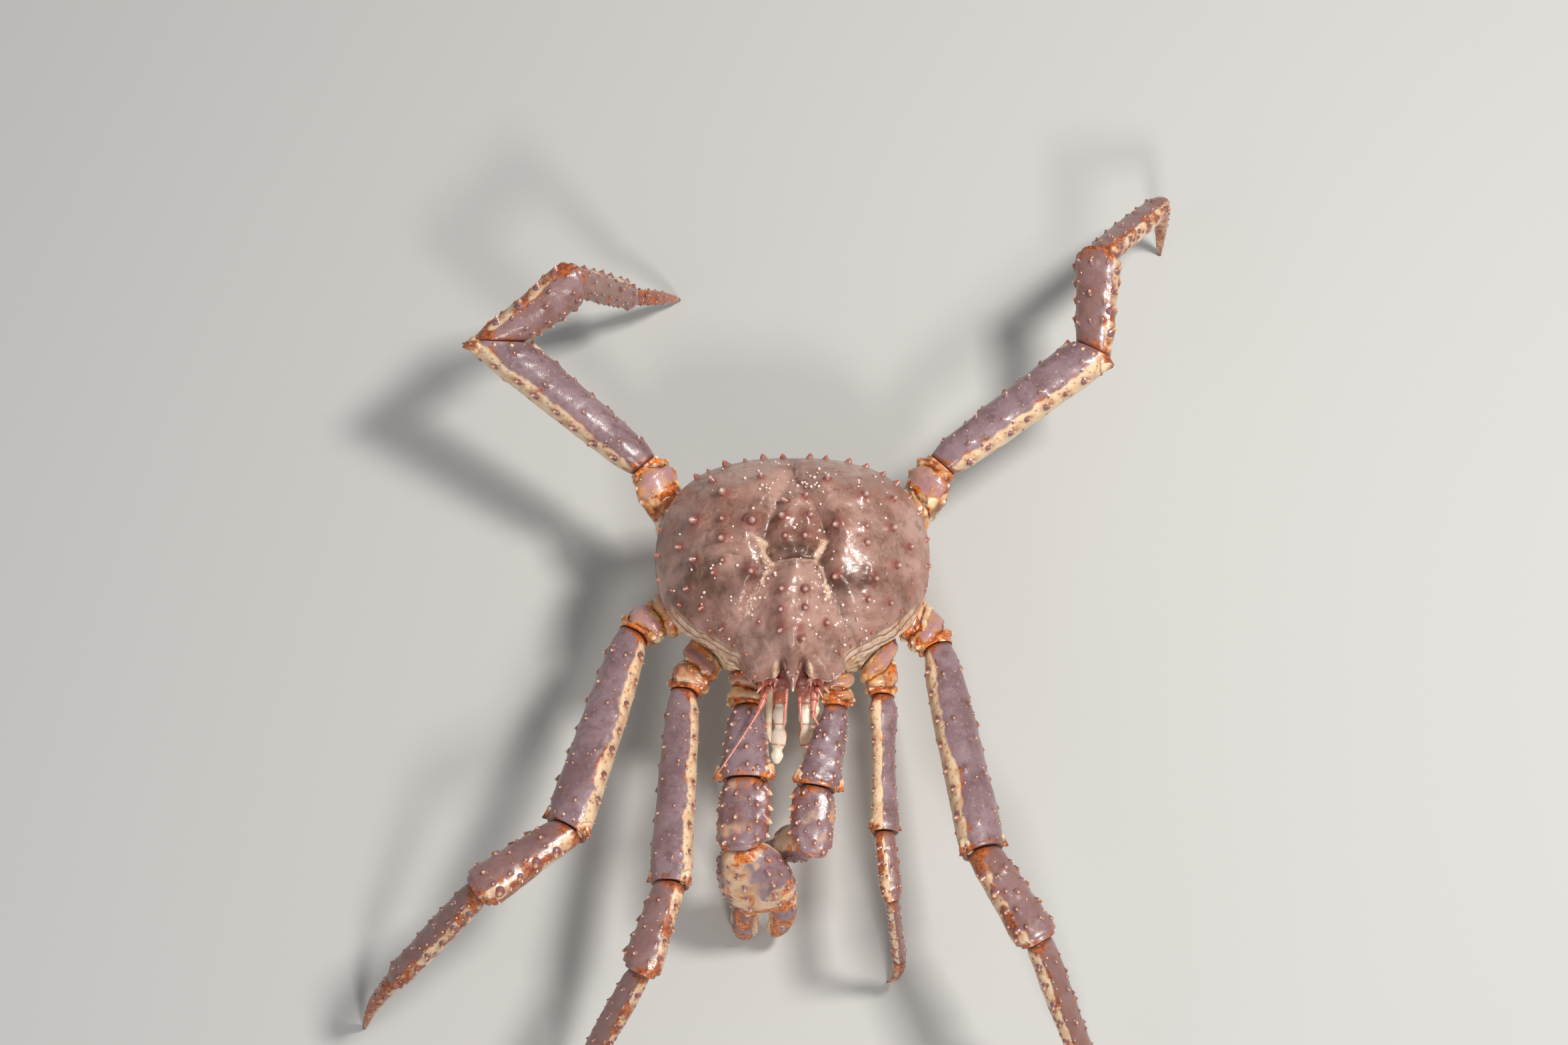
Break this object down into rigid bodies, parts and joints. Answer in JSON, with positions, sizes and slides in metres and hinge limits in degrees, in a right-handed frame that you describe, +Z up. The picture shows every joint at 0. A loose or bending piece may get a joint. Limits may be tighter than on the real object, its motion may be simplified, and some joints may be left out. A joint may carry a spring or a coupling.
{
  "type": "red king crab",
  "caption": "Life-size still model of a red king crab standing on spiny jointed legs, with unequal claws, a domed spiny shell, eyes, feelers and mouthparts.",
  "frame": {"origin": "on the floor, below the middle of the outline", "axes": "+Z up, +Y towards the tail, -Y towards the head, -X the crab's own right side"},
  "size_m": [0.5486, 0.6518, 0.1693],
  "materials": {
    "shell": "wet, glossy mauve-brown shell with darker spine bases",
    "underside": "cream underside with orange-brown stains, satin",
    "leg": "wet mauve backs, cream front edges, red-brown spines",
    "claw": "wet mottled mauve, cream and orange shell",
    "eye": "wet, dark pinkish-brown",
    "feeler": "satin pink to orange-red",
    "mouthpart": "white plates with orange-red edges"
  },
  "bodies": {
    "root": {"shell": "shell", "trunk": "underside", "tail_flap": "underside", "right_eye": "eye", "left_eye": "eye", "right_antennule": "feeler", "left_antennule": "feeler", "right_antenna": "feeler", "left_antenna": "feeler", "right_mouthpart": "mouthpart", "left_mouthpart": "mouthpart", "right_claw_base": "claw", "right_claw_merus": "claw", "right_claw_carpus": "claw", "right_claw_palm": "claw", "right_claw_finger": "claw", "left_claw_base": "claw", "left_claw_merus": "claw", "left_claw_carpus": "claw", "left_claw_palm": "claw", "left_claw_finger": "claw", "right_front_leg_base": "leg", "right_front_leg_merus": "leg", "right_front_leg_carpus": "leg", "right_front_leg_propodus": "leg", "right_front_leg_dactyl": "leg", "right_middle_leg_base": "leg", "right_middle_leg_merus": "leg", "right_middle_leg_carpus": "leg", "right_middle_leg_propodus": "leg", "right_middle_leg_dactyl": "leg", "right_rear_leg_base": "leg", "right_rear_leg_merus": "leg", "right_rear_leg_carpus": "leg", "right_rear_leg_propodus": "leg", "right_rear_leg_dactyl": "leg", "left_front_leg_base": "leg", "left_front_leg_merus": "leg", "left_front_leg_carpus": "leg", "left_front_leg_propodus": "leg", "left_front_leg_dactyl": "leg", "left_middle_leg_base": "leg", "left_middle_leg_merus": "leg", "left_middle_leg_carpus": "leg", "left_middle_leg_propodus": "leg", "left_middle_leg_dactyl": "leg", "left_rear_leg_base": "leg", "left_rear_leg_merus": "leg", "left_rear_leg_carpus": "leg", "left_rear_leg_propodus": "leg", "left_rear_leg_dactyl": "leg"}
  },
  "joints": []
}
